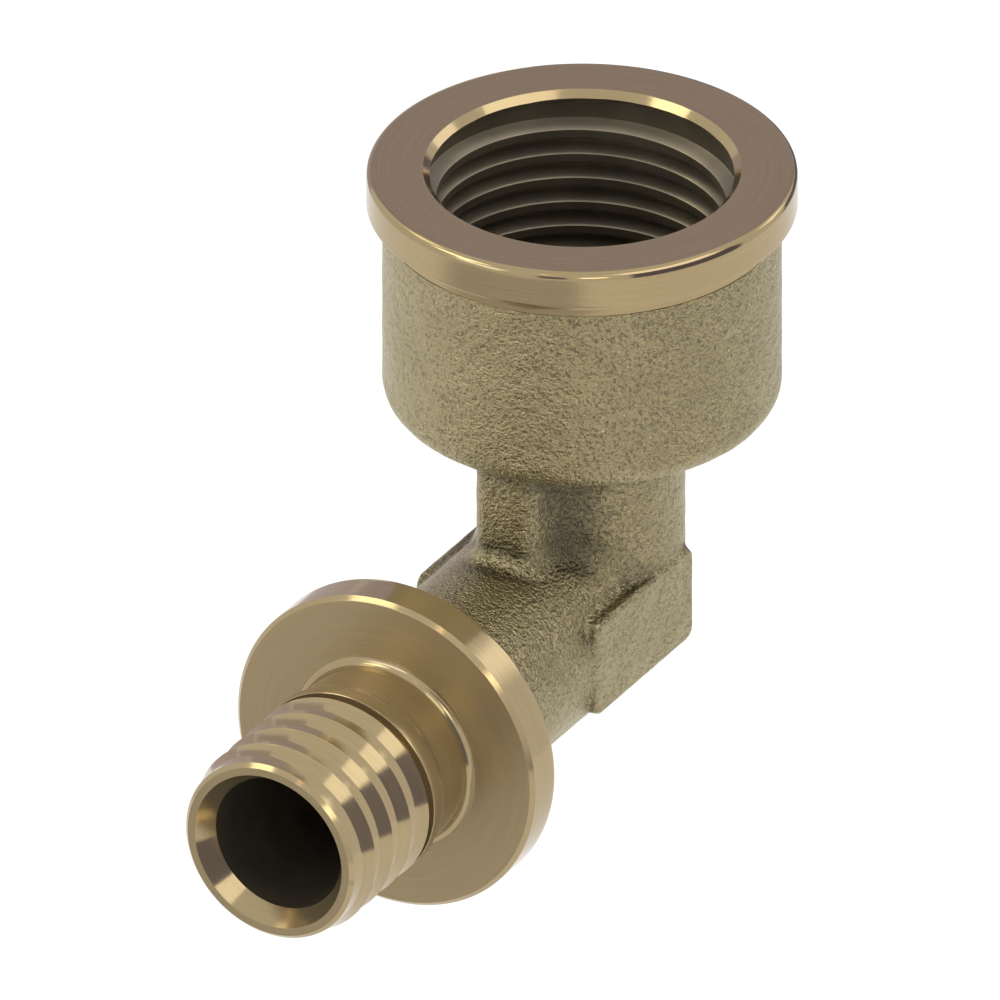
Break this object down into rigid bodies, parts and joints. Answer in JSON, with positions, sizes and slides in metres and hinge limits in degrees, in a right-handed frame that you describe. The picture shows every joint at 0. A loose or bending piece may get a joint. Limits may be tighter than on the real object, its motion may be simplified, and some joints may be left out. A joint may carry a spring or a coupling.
{
  "type": "brass pipe elbow",
  "caption": "Right-angle brass elbow with a female pipe-thread socket at one end and a barbed spigot with a collar for plastic water pipe at the other.",
  "frame": {"origin": "point where the socket's axis and the spigot's axis cross", "axes": "+Z along the socket's axis, out of its threaded mouth; -Y along the spigot's axis, out of its end; the part is mirrored about the YZ plane"},
  "size_m": [0.0284, 0.0555, 0.0427],
  "materials": {
    "brass": "cast with fine grain, and satin where turned"
  },
  "bodies": {
    "root": {"elbow_body": "brass"}
  },
  "joints": []
}
